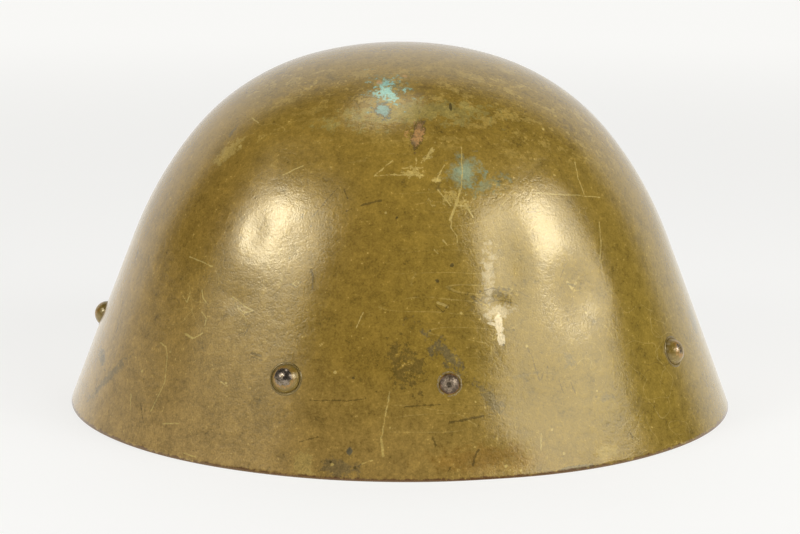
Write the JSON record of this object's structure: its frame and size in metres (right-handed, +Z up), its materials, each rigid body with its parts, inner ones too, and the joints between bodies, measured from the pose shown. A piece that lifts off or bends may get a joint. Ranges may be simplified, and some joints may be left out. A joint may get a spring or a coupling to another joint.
{
  "type": "civil defence helmet",
  "caption": "Pressed steel bowl helmet with a flared skirt, a round crown, a plain cut rim and riveted sides, in worn khaki paint.",
  "frame": {"origin": "middle of the oval rim, on the rim's plane, which is the plane the helmet rests on", "axes": "+X to the brow, +Y to the wearer's left, +Z up to the crown"},
  "size_m": [0.29, 0.2466, 0.1548],
  "materials": {
    "bowl_paint": "semi-gloss khaki enamel, worn",
    "rivet_paint": "semi-gloss khaki enamel, rubbed through on top",
    "rivet_steel": "bare steel, rusted"
  },
  "bodies": {
    "root": {"shell": "bowl_paint", "band_rivet_back": "rivet_paint", "band_rivet_right_back": "rivet_paint", "band_rivet_right_front": "rivet_paint", "band_rivet_left_back": "rivet_paint", "band_rivet_left_front": "rivet_paint", "strap_rivet_right": "rivet_steel", "strap_rivet_left": "rivet_steel"}
  },
  "joints": []
}
